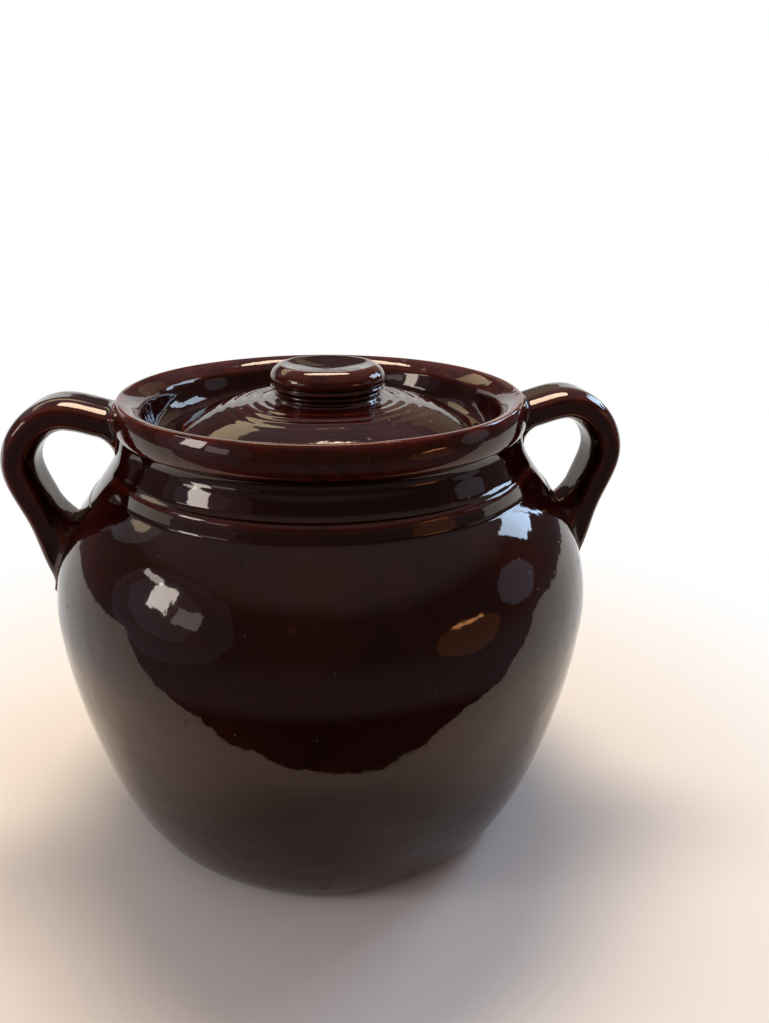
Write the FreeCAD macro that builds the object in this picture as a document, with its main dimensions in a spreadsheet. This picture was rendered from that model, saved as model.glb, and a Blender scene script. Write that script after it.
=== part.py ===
"""A lidded stoneware bean pot: a thrown pot, two pulled strap handles, and a loose lid with its knob.

Millimetres. +Z is up, the origin is the middle of the foot where the pot stands, and X runs through
both handles. Each round piece is turned about its own upright axis from a half profile.
"""
import FreeCAD
import Part
import Sketcher
import os
import re

# Driving sizes: name, value and meaning. Each row becomes a named cell of the sheet "Sizes".
SIZES = [
    # The pot's outside, from the foot up
    ("foot_radius", 73.6, "flat unglazed foot"),
    ("heel_spread", 15.6, "how far the heel rounds out past the foot"),
    ("belly_radius", 105.8, "widest part of the pot"),
    ("belly_height", 97.0, "height of the widest part"),
    ("belly_ease_down", 27.5, "upright stretch below the belly"),
    ("belly_ease_up", 16.7, "upright stretch above the belly"),
    ("neck_radius", 81.2, "where the shoulder meets the collar"),
    ("neck_height", 143.8, "where the shoulder meets the collar"),
    ("shoulder_run", 15.6, "sideways pull of the shoulder's curve"),
    ("shoulder_fall", 9.3, "downward pull of the shoulder's curve"),
    ("collar_rise", 4.8, "height of the collar's steep face"),
    ("collar_lean", 1.9, "how far the collar's face leans in"),
    ("collar_round", 2.6, "rounded upper edge of the collar"),
    ("slope_in", 5.9, "how far in from the neck the hollow slope above the collar ends"),
    ("slope_rise", 3.6, "height of the hollow slope"),
    ("groove_in", 7.6, "how far in from the neck the groove under the band reaches"),
    ("groove_rise", 4.6, "from the slope up to the bottom of the groove"),
    ("band_in", 3.8, "how far in from the neck the band's fullest part stands"),
    ("band_rise", 3.8, "from the bottom of the groove up to the band's lower edge"),
    ("band_depth", 9.2, "height of the band under the rim"),
    ("band_set_in", 0.9, "how far the band's edges stand in from its middle"),
    ("rim_rise", 2.8, "from the band up to the crest of the rim"),
    ("rim_in", 5.6, "how far in from the neck the crest of the rim stands"),
    # The pot's inside, from the rim down
    ("lip_in", 7.3, "from the crest in to the lip's inner edge"),
    ("lip_drop", 3.8, "from the crest down to the lip's inner edge"),
    ("lip_round", 2.2, "roundness of the crest towards the lip"),
    ("gallery_in", 8.3, "from the lip in to the flat ledge that the lid stands on"),
    ("gallery_depth", 15.7, "from the crest down to that ledge"),
    ("gallery_cove", 6.8, "hollow corner between the ledge and the lip"),
    ("ledge_width", 11.0, "flat and rounded edge of that ledge"),
    ("throat_round", 2.0, "rounded inner edge of the ledge"),
    ("throat_depth", 4.5, "upright part of the opening"),
    ("throat_flare", 10.0, "curve from the opening out under the ledge"),
    ("wall", 8.0, "wall of the pot"),
    ("shoulder_in", 0.7, "share of the wall that the inner shoulder starts in from the neck"),
    ("shoulder_down", 0.86, "share of the wall that the inner shoulder starts below the neck"),
    ("floor", 9.0, "floor of the pot"),
    # The lid
    ("lid_play", 3.9, "room around the lid inside the ledge's corner"),
    ("lid_shift", 1.9, "how far off centre the loose lid lies, within its play"),
    ("lid_edge", 3.1, "height of the lid's rounded edge"),
    ("lid_corner", 1.0, "rounded lower corner of that edge"),
    ("lid_seat", 6.6, "width of the lid's unglazed seat"),
    ("lid_height", 12.4, "top of the lid above its seat"),
    ("lid_slope", 10.0, "how far in the lid's edge starts to fall steeply"),
    ("lid_fall", 4.4, "how far below the top the steep fall starts"),
    ("lid_top", 22.4, "flat middle of the lid, where the knob stands"),
    ("lid_thickness", 5.6, "lid at its middle"),
    # The knob
    ("knob_radius", 22.6, "disc of the knob"),
    ("knob_height", 13.0, "rim of the knob above the lid"),
    ("knob_crest", 18.4, "raised rim of the knob's dished top"),
    ("knob_round", 2.1, "rounding of the raised rim"),
    ("knob_dish", 2.2, "depth of the dish in the knob's top"),
    ("knob_under", 4.9, "underside of the disc above the lid"),
    ("knob_neck", 20.6, "neck of the knob"),
    ("knob_bulge", 1.0, "swelling of the neck"),
    ("knob_groove", 1.3, "groove between the neck and the disc"),
    # The strap handles: a constant section along a smooth path, and a swelling at each end
    ("strap_fullness", 0.66, "squareness of the strap's section: 0.55 is an ellipse"),
    ("strap_width", 25.0, "strap across the hand"),
    ("strap_thickness", 12.8, "strap from outside to inside"),
    ("root_sink", 11.2, "how far inside the neck the path starts"),
    ("root_rise", 19.7, "from the shoulder's end up to the start of the path"),
    ("root_lead", 12.0, "level start of the path"),
    ("crown_out", 17.3, "pull of the path over the top, out from the neck"),
    ("crown_rise", 32.2, "pull of the path over the top, up from the shoulder's end"),
    ("side_out", 14.8, "pull of the path out to the side, past the belly"),
    ("side_rise", 7.2, "pull of the path out to the side, up from the shoulder's end"),
    ("waist_in", 1.2, "pull of the path back in, inside the belly's width"),
    ("waist_drop", 14.8, "pull of the path back in, below the shoulder's end"),
    ("tail_in", 1.6, "pull of the path down the belly, inside its width"),
    ("tail_rise", 7.8, "pull of the path down the belly, above its widest part"),
    ("tip_sink", 11.2, "lower end of the path, inside the belly's width"),
    ("tip_drop", 10.4, "lower end of the path, below the belly's widest part"),
    ("swell_inset", 1.0, "how far the thin end of a swelling lies inside the strap"),
    ("root_spread", 30.0, "width of the upper swelling at the neck"),
    ("root_swell", 36.0, "height of the upper swelling at the neck"),
    ("root_swell_rise", 12.7, "from the shoulder's end up to the middle of the upper swelling"),
    ("root_end_out", 5.3, "thin end of the upper swelling, out from the neck"),
    ("root_end_rise", 22.8, "thin end of the upper swelling, up from the shoulder's end"),
    ("root_end_tilt", 80.0, "turn of that thin end"),
    ("foot_spread", 27.0, "width of the lower swelling in the wall"),
    ("foot_swell", 26.0, "height of the lower swelling in the wall"),
    ("foot_sink", 10.8, "middle of the lower swelling, inside the belly's width"),
    ("foot_rise", 17.0, "middle of the lower swelling, above the belly's widest part"),
    ("foot_end_out", 4.2, "thin end of the lower swelling, outside the belly's width"),
    ("foot_end_rise", 36.0, "thin end of the lower swelling, above the belly's widest part"),
    ("foot_end_tilt", 202.0, "turn of that thin end"),
]

# Radii and heights worked out from the driving sizes: name and formula. They are cells of the sheet too.
WORKED_OUT = [
    ("slope_radius", "neck_radius - slope_in"),
    ("slope_height", "neck_height + collar_rise + collar_round + slope_rise"),
    ("groove_radius", "neck_radius - groove_in"),
    ("groove_height", "slope_height + groove_rise"),
    ("band_radius", "neck_radius - band_in"),
    ("band_low", "groove_height + band_rise"),
    ("band_high", "band_low + band_depth"),
    ("rim_radius", "neck_radius - rim_in"),
    ("rim_height", "band_high + rim_rise"),
    ("lip_radius", "rim_radius - lip_in"),
    ("lip_height", "rim_height - lip_drop"),
    ("gallery_radius", "lip_radius - gallery_in"),
    ("gallery_height", "rim_height - gallery_depth"),
    ("throat_radius", "gallery_radius - ledge_width"),
    ("root_x", "neck_radius - root_sink"),
    ("root_z", "neck_height + root_rise"),
    ("crown_x", "neck_radius + crown_out"),
    ("crown_z", "neck_height + crown_rise"),
    ("side_x", "belly_radius + side_out"),
    ("side_z", "neck_height + side_rise"),
    ("waist_x", "belly_radius - waist_in"),
    ("waist_z", "neck_height - waist_drop"),
    ("tail_x", "belly_radius - tail_in"),
    ("tail_z", "belly_height + tail_rise"),
    ("tip_x", "belly_radius - tip_sink"),
    ("tip_z", "belly_height - tip_drop"),
    ("root_centre", "neck_height + root_swell_rise"),
    ("root_end_x", "neck_radius + root_end_out"),
    ("root_end_z", "neck_height + root_end_rise"),
    ("foot_x", "belly_radius - foot_sink"),
    ("foot_z", "belly_height + foot_rise"),
    ("foot_end_x", "belly_radius + foot_end_out"),
    ("foot_end_z", "belly_height + foot_end_rise"),
]


def fill_sheet(doc):
    """Write the driving sizes and what is worked out from them into a sheet, one named cell each."""
    sheet = doc.addObject("Spreadsheet::Sheet", "Sizes")
    rows = [(name, str(value), meaning) for name, value, meaning in SIZES]
    rows += [(name, "=" + text, "worked out") for name, text in WORKED_OUT]
    for row, (name, content, meaning) in enumerate(rows, start=1):
        sheet.set("A%d" % row, name)
        sheet.set("B%d" % row, content)
        sheet.set("C%d" % row, meaning)
        sheet.setAlias("B%d" % row, name)
    doc.recompute()


def formula(text):
    """Turn a formula in the sheet's names into an expression of the document."""
    return re.sub(r"[a-z][a-z_]+", r"Sizes.\g<0>", text)


def measure(thing, text):
    """The present value of a formula."""
    return float(thing.evalExpression(formula(text)))


def new_sketch(body, name, role):
    """An empty sketch on one of the body's own origin planes."""
    sketch = body.newObject("Sketcher::SketchObject", name)
    plane = next(p for p in body.Origin.OriginFeatures if p.Role == role)
    sketch.AttachmentSupport = [(plane, "")]
    sketch.MapMode = "FlatFace"
    return sketch


def pin(sketch, geometry, position, point):
    """Tie a point of the sketch to its two formulas."""
    for kind, text in zip(("DistanceX", "DistanceY"), point):
        value = measure(sketch, text)
        index = sketch.addConstraint(Sketcher.Constraint(kind, -1, 1, geometry, position, value))
        sketch.setExpression("Constraints[%d]" % index, formula(text))


def draw_line(sketch, ends, vectors):
    """A straight stretch between two pinned points."""
    line = sketch.addGeometry(Part.LineSegment(*vectors))
    pin(sketch, line, 1, ends[0])
    pin(sketch, line, 2, ends[1])


def draw_curve(sketch, poles, vectors):
    """A smooth stretch that starts and ends on its outer poles and leans to the ones between."""
    marks = []
    for vector in vectors:
        circle = Part.Circle(vector, FreeCAD.Vector(0, 0, 1), 1.0)
        marks.append(sketch.addGeometry(circle, True))
    sketch.addConstraint(Sketcher.Constraint("Weight", marks[0], 1.0))
    for mark in marks[1:]:
        sketch.addConstraint(Sketcher.Constraint("Equal", marks[0], mark))
    spline = Part.BSplineCurve()
    spline.buildFromPoles(vectors, False, min(3, len(vectors) - 1))
    curve = sketch.addGeometry(spline)
    for index, mark in enumerate(marks):
        role = "InternalAlignment:Sketcher::BSplineControlPoint"
        sketch.addConstraint(Sketcher.Constraint(role, mark, 3, curve, index))
    for mark, pole in zip(marks, poles):
        pin(sketch, mark, 3, pole)


def draw_outline(sketch, stretches):
    """A closed outline: two points make a line and more make a curve."""
    for stretch in stretches:
        vectors = [FreeCAD.Vector(measure(sketch, x), measure(sketch, y), 0) for x, y in stretch]
        if len(stretch) == 2:
            draw_line(sketch, stretch, vectors)
        else:
            draw_curve(sketch, stretch, vectors)


def turn(body, kind, name, stretches):
    """Turn a half profile about the body's upright axis, adding or cutting it."""
    sketch = new_sketch(body, name + "Profile", "YZ_Plane")
    draw_outline(sketch, stretches)
    feature = body.newObject(kind, name)
    feature.Profile = sketch
    feature.ReferenceAxis = (sketch, ["V_Axis"])
    feature.Angle = 360.0
    return feature


def pot_outside():
    """Half profile of the thrown pot, solid from the axis to its outer skin."""
    heel = ("foot_radius + heel_spread", "0")
    belly = ("belly_radius", "belly_height")
    neck = ("neck_radius", "neck_height")
    collar = ("neck_radius - collar_lean", "neck_height + collar_rise")
    ridge = ("neck_radius - collar_lean - collar_round", "neck_height + collar_rise + collar_round")
    slope = ("slope_radius", "slope_height")
    groove = ("groove_radius", "groove_height")
    band_foot = ("band_radius - band_set_in", "band_low")
    band_top = ("band_radius - band_set_in", "band_high")
    crest = ("rim_radius", "rim_height")
    return [
        [("0", "0"), ("foot_radius", "0")],
        [("foot_radius", "0"), heel, ("belly_radius", "belly_height - belly_ease_down"), belly],
        [belly, ("belly_radius", "belly_height + belly_ease_up"),
         ("neck_radius + shoulder_run", "neck_height - shoulder_fall"), neck],
        [neck, collar],
        [collar, ("neck_radius - collar_lean", "neck_height + collar_rise + collar_round"), ridge],
        [ridge, ("slope_radius", "neck_height + collar_rise + collar_round"), slope],
        [slope, ("slope_radius", "(slope_height + groove_height) / 2"),
         ("groove_radius", "(slope_height + groove_height) / 2"), groove],
        [groove, ("groove_radius", "band_low"), band_foot],
        [band_foot, ("band_radius + band_set_in / 3", "(band_low * 3 + band_high) / 4"),
         ("band_radius + band_set_in / 3", "(band_low + band_high * 3) / 4"), band_top],
        [band_top, ("band_radius - band_set_in", "rim_height"), crest],
        [crest, ("0", "rim_height")],
        [("0", "rim_height"), ("0", "0")],
    ]


def pot_inside():
    """Half profile of the room inside the pot: lip, ledge for the lid, opening and belly."""
    crest = ("rim_radius", "rim_height")
    lip = ("lip_radius", "lip_height")
    ledge = ("gallery_radius", "gallery_height")
    ledge_edge = ("throat_radius + throat_round", "gallery_height")
    throat_top = ("throat_radius", "gallery_height - throat_round")
    throat_end = ("throat_radius", "gallery_height - throat_round - throat_depth")
    under_radius = "neck_radius - wall * shoulder_in"
    under_height = "neck_height - wall * shoulder_down"
    under_ledge = (under_radius, under_height)
    belly = ("belly_radius - wall", "belly_height")
    floor_edge = ("foot_radius - wall", "floor")
    return [
        [("0", "rim_height"), crest],
        [crest, ("rim_radius - lip_round", "rim_height"),
         ("lip_radius + lip_round", "lip_height + lip_round"), lip],
        [lip, ("lip_radius - lip_round", "lip_height - lip_round"),
         ("gallery_radius + gallery_cove", "gallery_height"), ledge],
        [ledge, ledge_edge],
        [ledge_edge, ("throat_radius", "gallery_height"), throat_top],
        [throat_top, throat_end],
        [throat_end, ("throat_radius", "gallery_height - throat_round - throat_depth - throat_flare"),
         (under_radius + " - shoulder_run / 2", under_height + " + shoulder_fall / 2"), under_ledge],
        [under_ledge, (under_radius + " + shoulder_run", under_height + " - shoulder_fall"),
         ("belly_radius - wall", "belly_height + belly_ease_up"), belly],
        [belly, ("belly_radius - wall", "belly_height - belly_ease_down"),
         ("foot_radius + heel_spread - wall", "floor"), floor_edge],
        [floor_edge, ("0", "floor")],
        [("0", "floor"), ("0", "rim_height")],
    ]


def make_pot(doc):
    """The thrown pot: turned solid, then hollowed."""
    body = doc.addObject("PartDesign::Body", "Pot")
    body.Label = "pot_body"
    blank = turn(body, "PartDesign::Revolution", "Blank", pot_outside())
    doc.recompute()
    turn(body, "PartDesign::Groove", "Hollow", pot_inside())
    return body, blank


def place(sketch, offset, tilt="0"):
    """Tie the sketch's place on its plane to formulas, and its turn about the plane's upright."""
    sketch.AttachmentOffset = FreeCAD.Placement(
        FreeCAD.Vector(*[measure(sketch, text) for text in offset]),
        FreeCAD.Rotation(FreeCAD.Vector(0, 1, 0), measure(sketch, tilt)))
    for letter, text in zip("xyz", offset):
        sketch.setExpression(".AttachmentOffset.Base." + letter, formula(text))
    sketch.setExpression(".AttachmentOffset.Rotation.Angle", formula(tilt))


def section(body, name, centre, tilt, thin, wide):
    """An oval section square to a direction in the handle's plane, tilted from straight up."""
    sketch = new_sketch(body, name, "XY_Plane")
    place(sketch, (centre[0], "0", centre[1]), tilt)
    draw_outline(sketch, oval(thin, wide))
    return sketch


def join_sections(body, name, first, last):
    """A solid that runs straight from one section to the other."""
    loft = body.newObject("PartDesign::AdditiveLoft", name)
    loft.Profile = first
    loft.Sections = [last]


def make_strap(doc, name, turned):
    """One pulled strap: an oval section along a loop, with a swelling where each end is luted on."""
    thin = "strap_thickness / 2"
    wide = "strap_width / 2"
    inner_thin = "(%s - swell_inset)" % thin
    inner_wide = "(%s - swell_inset)" % wide
    body = doc.addObject("PartDesign::Body", name)
    path = new_sketch(body, name + "Path", "XZ_Plane")
    poles = [("root_x", "root_z"), ("root_x + root_lead", "root_z")]
    for pull in ("crown", "side", "waist", "tail", "tip"):
        poles.append((pull + "_x", pull + "_z"))
    draw_outline(path, [poles])
    profile = new_sketch(body, name + "Section", "YZ_Plane")
    place(profile, ("0", "root_z", "root_x"))
    draw_outline(profile, oval(wide, thin))
    doc.recompute()
    pipe = body.newObject("PartDesign::AdditivePipe", name + "Pipe")
    pipe.Profile = profile
    pipe.Spine = (path, ["Edge1"])
    doc.recompute()
    root = section(body, name + "RootIn", ("root_x", "root_centre"), "90", "root_swell / 2", "root_spread / 2")
    root_end = section(body, name + "RootOut", ("root_end_x", "root_end_z"), "root_end_tilt",
                       inner_thin, inner_wide)
    join_sections(body, name + "Root", root, root_end)
    doc.recompute()
    foot = section(body, name + "FootIn", ("foot_x", "foot_z"), "foot_end_tilt",
                   "foot_swell / 2", "foot_spread / 2")
    foot_end = section(body, name + "FootOut", ("foot_end_x", "foot_end_z"), "foot_end_tilt",
                       inner_thin, inner_wide)
    join_sections(body, name + "Foot", foot, foot_end)
    upright = FreeCAD.Vector(0, 0, 1)
    body.Placement = FreeCAD.Placement(FreeCAD.Vector(), FreeCAD.Rotation(upright, turned))
    return body


def oval(thin, wide):
    """A full oval of four quarter curves, given half its size along the sketch's X and along its Y."""
    quarters = []
    for sign_x, sign_y in ((1, 1), (-1, 1), (-1, -1), (1, -1)):
        flat = "%d * (%s)" % (sign_x, thin)
        tall = "%d * (%s)" % (sign_y, wide)
        quarter = [(flat, "0"), (flat, tall + " * strap_fullness"), (flat + " * strap_fullness", tall),
                   ("0", tall)]
        quarters.append(quarter if sign_x == sign_y else quarter[::-1])
    return quarters


def make_handle(doc, label, blank, turned):
    """A strap trimmed to the pot's skin, so that its two ends are luted on face to face."""
    strap = make_strap(doc, label.title().replace("_", "") + "Strap", turned)
    handle = doc.addObject("Part::Cut", label.title().replace("_", ""))
    handle.Label = label
    handle.Base = strap
    handle.Tool = blank
    return handle


def make_lid(doc):
    """The lid without its knob, turned about its own axis with its seat at zero."""
    edge = "gallery_radius - lid_play"
    edge_foot = (edge + " - lid_corner", "0")
    edge_side = (edge, "lid_edge / 2")
    edge_top = (edge + " - lid_corner / 2", "lid_edge")
    seat_end = (edge + " - lid_corner - lid_seat", "0")
    top = ("lid_top", "lid_height")
    hollow = "lid_height - lid_thickness"
    body = doc.addObject("PartDesign::Body", "Lid")
    body.Label = "lid_disc"
    turn(body, "PartDesign::Revolution", "LidTurn", [
        [seat_end, edge_foot],
        [edge_foot, (edge, "0"), edge_side],
        [edge_side, (edge, "lid_edge - lid_corner / 2"), edge_top],
        [edge_top, (edge + " - lid_slope", "lid_height - lid_fall"),
         (edge + " - lid_slope * 2", "lid_height"), top],
        [top, ("0", "lid_height")],
        [("0", "lid_height"), ("0", hollow)],
        [("0", hollow), ("lid_top", hollow), (edge + " - lid_seat - lid_slope", hollow), seat_end],
    ])
    body.setExpression(".Placement.Base.x", formula("lid_shift"))
    body.setExpression(".Placement.Base.z", formula("gallery_height"))
    return body


def make_knob(doc):
    """The knob, turned about the lid's axis with the face that is luted to the lid at zero."""
    neck_top = ("knob_neck - knob_groove", "knob_under - knob_groove / 2")
    under = ("knob_radius - knob_groove", "knob_under")
    crest = ("knob_crest", "knob_height")
    body = doc.addObject("PartDesign::Body", "Knob")
    body.Label = "lid_knob"
    turn(body, "PartDesign::Revolution", "KnobTurn", [
        [("0", "0"), ("lid_top - knob_bulge", "0")],
        [("lid_top - knob_bulge", "0"), ("knob_neck - knob_bulge", "knob_groove / 2"),
         ("knob_neck + knob_bulge", "knob_under / 2"), neck_top],
        [neck_top, ("knob_neck - knob_groove", "knob_under"), under],
        [under, ("knob_radius", "knob_under + knob_groove"),
         ("knob_radius", "knob_height - knob_round"), crest],
        [crest, ("knob_crest - knob_round", "knob_height + knob_round / 2"),
         ("knob_crest / 2", "knob_height - knob_dish"), ("0", "knob_height - knob_dish")],
        [("0", "knob_height - knob_dish"), ("0", "0")],
    ])
    body.setExpression(".Placement.Base.x", formula("lid_shift"))
    body.setExpression(".Placement.Base.z", formula("gallery_height + lid_height"))
    return body


def check(doc, pieces):
    """Stop if anything in the document failed or a piece isn't one sound solid."""
    for thing in doc.Objects:
        if "Invalid" in thing.State or "Error" in thing.State:
            raise RuntimeError("%s failed: %s" % (thing.Label, thing.State))
    for piece in pieces:
        shape = piece.Shape
        if shape.isNull() or not shape.isValid() or len(shape.Solids) != 1:
            raise RuntimeError("%s isn't one sound solid" % piece.Label)


def main():
    doc = FreeCAD.newDocument("BeanPot")
    fill_sheet(doc)
    pot, blank = make_pot(doc)
    pieces = [pot]
    pieces.append(make_handle(doc, "handle_right", blank, 0))
    pieces.append(make_handle(doc, "handle_left", blank, 180))
    pieces.append(make_lid(doc))
    pieces.append(make_knob(doc))
    doc.recompute()
    check(doc, pieces)
    os.makedirs("parts", exist_ok=True)
    for piece in pieces:
        piece.Shape.exportStep("parts/%s.step" % piece.Label)
        box = piece.Shape.BoundBox
        print("%-13s %9.0f mm3  X %.1f..%.1f  Y %.1f..%.1f  Z %.1f..%.1f" % (
            piece.Label, piece.Shape.Volume, box.XMin, box.XMax, box.YMin, box.YMax, box.ZMin, box.ZMax))


main()
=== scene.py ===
"""Looks of a lidded stoneware bean pot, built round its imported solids.

Metres, in the solids' own frame: +Z is up, the pot stands on z = 0 and X runs through both handles.
Each thrown piece is a half profile spun about its axis, and each handle is a section swept along a path.
Profiles are written in millimetres as (radius, height) and turned to metres where a curve is drawn.
"""
import math

import bmesh
import bpy
from mathutils import Matrix, Vector, noise
from mathutils.bvhtree import BVHTree
from mathutils.geometry import interpolate_bezier


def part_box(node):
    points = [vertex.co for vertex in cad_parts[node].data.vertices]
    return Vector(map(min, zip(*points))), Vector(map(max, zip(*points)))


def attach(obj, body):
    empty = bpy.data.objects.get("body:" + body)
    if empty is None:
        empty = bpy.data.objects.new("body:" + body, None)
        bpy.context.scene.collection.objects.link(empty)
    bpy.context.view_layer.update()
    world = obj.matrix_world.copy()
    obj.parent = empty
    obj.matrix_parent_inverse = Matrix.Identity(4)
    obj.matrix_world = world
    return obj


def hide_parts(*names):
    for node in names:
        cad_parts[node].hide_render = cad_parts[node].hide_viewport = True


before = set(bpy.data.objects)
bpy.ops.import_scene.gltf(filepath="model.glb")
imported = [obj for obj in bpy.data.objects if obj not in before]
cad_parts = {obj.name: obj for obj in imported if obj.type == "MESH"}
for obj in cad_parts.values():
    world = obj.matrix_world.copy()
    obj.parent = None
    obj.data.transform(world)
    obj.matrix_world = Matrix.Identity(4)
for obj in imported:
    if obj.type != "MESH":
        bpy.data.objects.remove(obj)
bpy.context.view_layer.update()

bl_info = {
    "name": "Stoneware Bean Pot",
    "version": (1, 0, 0),
    "blender": (4, 5, 0),
    "location": "View3D > Sidebar > Bean Pot",
    "description": "Builds a glazed stoneware bean pot with strap handles and a loose inset lid",
    "category": "Add Mesh",
}

MM = 0.001

# Reach of the solids, which the looks keep to
POT_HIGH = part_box("pot_body")[1]
LID_LOW, LID_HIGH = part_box("lid_disc")
KNOB_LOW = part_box("lid_knob")[0]
BELLY = round(POT_HIGH.x / MM, 1)
LEDGE = round(LID_LOW.z / MM, 1)
LID_TOP = round(KNOB_LOW.z / MM, 1)
LID_AXIS = (LID_LOW.x + LID_HIGH.x) / 2
LID_EDGE = round((LID_HIGH.x - LID_AXIS) / MM, 1)

# Outside of the pot, from the foot up, in millimetres
FOOT = 73.6
HEEL_SPREAD = 15.6
BELLY_HEIGHT = 97.0
BELLY_INSET = 0.4
BELLY_EASE = (27.5, 16.7)
NECK = (81.2, 143.8)
SHOULDER = (15.6, 9.3)
CREASE = (82.4, 143.1)
COLLAR = ((81.0, 145.2), (80.5, 147.6), (78.6, 150.5))
SLOPE = ((77.0, 152.0), (75.3, 155.8))
GROOVE = (73.6, 160.2)
BAND_FOOT = (77.4, 163.6)
BAND_PULL = ((78.7, 165.0), (79.1, 170.2))
BAND_TOP = (76.5, 174.7)
CREST = (75.5, 175.1)

# Clay smeared over the neck under each handle: its profile, and where it runs out round the neck
SMEAR = ((77.4, 166.0), (75.0, 151.5), (86.4, 145.6), (98.6, 123.6))
SMEAR_FULL = 20.0
SMEAR_END = 38.0
# Nearer to the axis than this is the inside of the pot, which the smear leaves alone
SMEAR_INNER = 72.0

# Inside of the pot, from the rim down, in millimetres
LIP = (68.3, 171.4)
LIP_ROUND = 2.2
LEDGE_IN = 60.0
LEDGE_COVE = 6.8
THROAT = 49.0
THROAT_ROUND = 2.0
THROAT_END = 153.0
THROAT_PULL = 10.0
UNDER_LEDGE = (75.6, 136.9)
UNDER_PULL = (7.8, 4.7)
WALL = 8.0
FLOOR = 9.0

# Lid, in millimetres: its seat in from the edge, the hollow under it and the flat under the knob
LID_SEAT = 7.6
LID_HOLLOW = 6.8
LID_FLAT = 22.4
LID_CLEAR = 0.02

# Finger rings on the lid, in millimetres from its middle: where they come in and where they fade out
RINGS_START = (21, 25)
RINGS_END = (46, 34)

# Steps round each thrown piece, and the gaps that are welded shut
POT_STEPS = 256
KNOB_STEPS = 192
WELD = 0.01 * MM
WELD_SEAM = 0.005 * MM

# Thin glaze on edges. Profiles: the width looked at, the slack and the full depth, in millimetres.
POT_EDGES = (3.0, 0.16, 0.85)
KNOB_EDGES = (2.2, 0.1, 0.6)
# Meshes: the rounds of smoothing, then the slack and the full depth, in millimetres.
LID_EDGES = (10, 0.03, 0.15)
STRAP_EDGES = (20, 0.25, 0.7)

# The run of glaze near the foot, in millimetres: heights it bends, starts and ends over, and its drop
RUN_MIDDLE = -7.7
RUN_SWAY = 4.3
RUN_BEND = (54, 10)
RUN_TOP = (46, 56)
RUN_END = (13, 15)
RUN_EDGE = (0.25, 0.65)
RUN_FRONT = -50
RUN_DROP = (-8.6, -84.5, 13.5)
RUN_DROP_EDGE = (1.4, 2.4)

# Names of the two materials of the pieces
GLAZE = "slip_glaze_dipped"
BARE = "stoneware_wiped_bare"

# Colours of small details
SPOT_COLOUR = "3C0806"
RUN_COLOUR = "1A0503"
STAIN_COLOUR = "7C6048"
SHEEN_COLOUR = "FFE2C4"

# The paper under the pot, in metres: its sides, the table's front edge, the far backdrop and both bends
SWEEP_SIDE = 3.0
TABLE_FRONT = -0.162
TABLE_HANG = 0.8
TABLE_BEND = 0.010
SWEEP_BACK = 3.0
SWEEP_TOP = 1.0
SWEEP_BEND = 0.35
FLOOR_FADE = (0.13, 0.34)

# Camera: place in metres, focal length in millimetres, and heading, pitch and roll in degrees
CAMERA_PLACE = (-0.0180, -0.3088, 0.2430)
CAMERA_LENS = 28.53
CAMERA_TURN = (7.82, 20.975, -0.626)

# The room round the table: elevation in degrees, colour and brightness
ROOM = (
    (-89, "D8C8B8", 0.05), (-36, "D8C8B8", 0.05), (-24, "CAC2DA", 0.34), (-9, "CAC2DA", 0.36),
    (5, "E0C8CC", 0.17), (30, "E0C8CC", 0.17), (43, "EFE4F4", 0.42), (89, "EFE4F4", 0.46),
)

# Lamps: name, azimuth from the back towards +X, elevation, distance, width and height, brightness, colour
LAMP_TARGET = (0, 0, 0.11)
LAMPS = (
    ("window_left_core", -107, 21, 0.9, (0.17, 0.20), 14, "E2EEFF"),
    ("window_left_top", -97, 27, 0.9, (0.16, 0.05), 8, "E6F0FF"),
    ("window_left_side", -122, 17, 0.9, (0.20, 0.15), 2.4, "D4DCF4"),
    ("window_right_upper", 68, 29, 0.9, (0.26, 0.24), 12, "B4D6FF"),
    ("window_right_edge", 54, 22, 0.9, (0.12, 0.26), 9, "BCDAFF"),
    ("glow_left", -110, 16, 1.0, (0.64, 0.50), 0.32, "C6BEE8"),
    ("glow_left_wide", -112, 14, 1.1, (1.20, 0.90), 0.24, "C6BEE8"),
    ("glow_right", 99, 14, 0.9, (0.34, 0.30), 0.8, "A8B8E0"),
    ("glow_warm", 128, 4, 1.0, (0.50, 0.34), 0.5, "E09868"),
    ("lamp_warm", 128, 11, 0.98, (0.28, 0.035), 7.0, "FFC090"),
    ("panel_back", -30, 38, 1.3, (1.10, 0.28), 2.0, "FFF2C8"),
    ("glow_back_left", -54, 32, 1.3, (0.60, 0.55), 0.5, "B8C4D8"),
    ("glow_back_right", 26, 27, 1.3, (0.90, 0.40), 0.35, "D8C8A0"),
    ("lamp_overhead", 0, 71, 1.2, (0.80, 0.30), 19, "FFF2E4"),
)

# Handle path and section, in millimetres
PATH = ((70.0, 163.5), (82.0, 163.5), (98.5, 175.8), (120.3, 151.0), (104.6, 129.0), (104.2, 104.8),
        (94.6, 86.6))
PATH_SWELL = (1.0, 1.0, 1.0, 1.0, 0.98, 0.93, 0.62)
STRAP_WIDTH = 24.8
STRAP_THICKNESS = 12.4
STRAP_SQUARENESS = 2.9
STRAP_FLUTES = 0.022

# Luting of the handles, in millimetres: how deep their ends sit in the wall, the height that parts the upper
# joint from the lower, the heights over which the tail thins out, and the lower web's share of the upper
LUTE_SUNK = 3
LUTE_UPPER = 138
LUTE_TAIL = (85, 103)
LUTE_LOWER = 1.6


# ---- Sizes and colours that a user would change ----

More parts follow.
